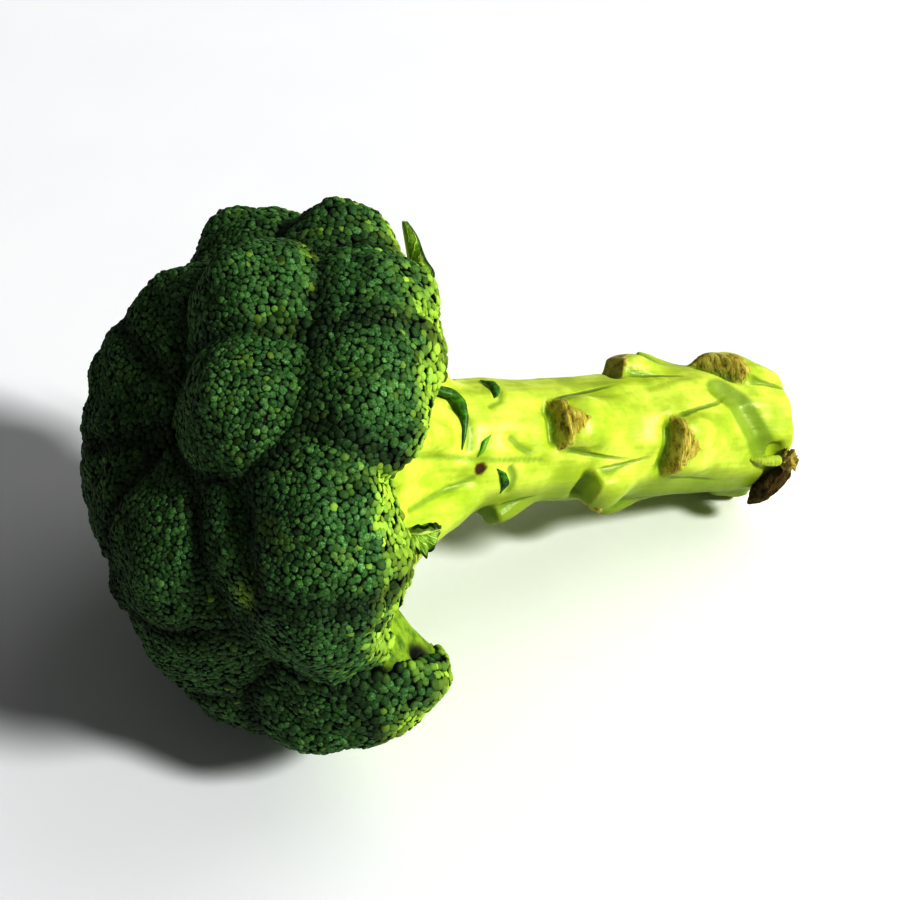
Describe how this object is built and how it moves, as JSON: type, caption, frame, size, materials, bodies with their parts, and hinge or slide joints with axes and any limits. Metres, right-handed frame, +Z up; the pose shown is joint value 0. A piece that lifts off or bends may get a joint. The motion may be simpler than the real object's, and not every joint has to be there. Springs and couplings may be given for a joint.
{
  "type": "broccoli head",
  "caption": "Broccoli head lying on its side, a thick green stalk that branches into a domed crown of tight dark florets, with small leaves.",
  "frame": {"origin": "on the ground under the middle of the head's bounding box, as it lies on its side", "axes": "+Z up; +X along the stalk from the crown towards the cut end, seen from above; -Y is the near side"},
  "size_m": [0.2165, 0.1441, 0.1408],
  "materials": {
    "floret_buds": "dark green, dull, waxy flower buds packed tightly together",
    "stalk_skin": "pale yellow-green, smooth moist skin with brown leaf scars",
    "leaf_blade": "yellow-green thin leaf, satin",
    "torn_base": "dry tan torn fibres, rough"
  },
  "bodies": {
    "root": {"floret_crown": "floret_buds", "floret_crown_far": "floret_buds", "floret_crown_near": "floret_buds", "floret_far": "floret_buds", "floret_lower_far": "floret_buds", "floret_lower_near": "floret_buds", "floret_middle_near": "floret_buds", "floret_rim_bottom_near": "floret_buds", "floret_rim_far": "floret_buds", "floret_rim_low_near": "floret_buds", "floret_rim_low_rear": "floret_buds", "floret_rim_lower_far": "floret_buds", "floret_rim_lower_near": "floret_buds", "floret_rim_near": "floret_buds", "floret_rim_top": "floret_buds", "floret_rim_top_far": "floret_buds", "floret_rim_top_rear": "floret_buds", "floret_rim_upper_far": "floret_buds", "floret_rim_upper_near": "floret_buds", "floret_under_far": "floret_buds", "floret_under_near": "floret_buds", "floret_upper_far": "floret_buds", "floret_upper_near": "floret_buds", "leaf_far": "leaf_blade", "leaf_side": "leaf_blade", "leaf_stub": "torn_base", "leaf_top": "leaf_blade", "stalk": "stalk_skin"}
  },
  "joints": []
}
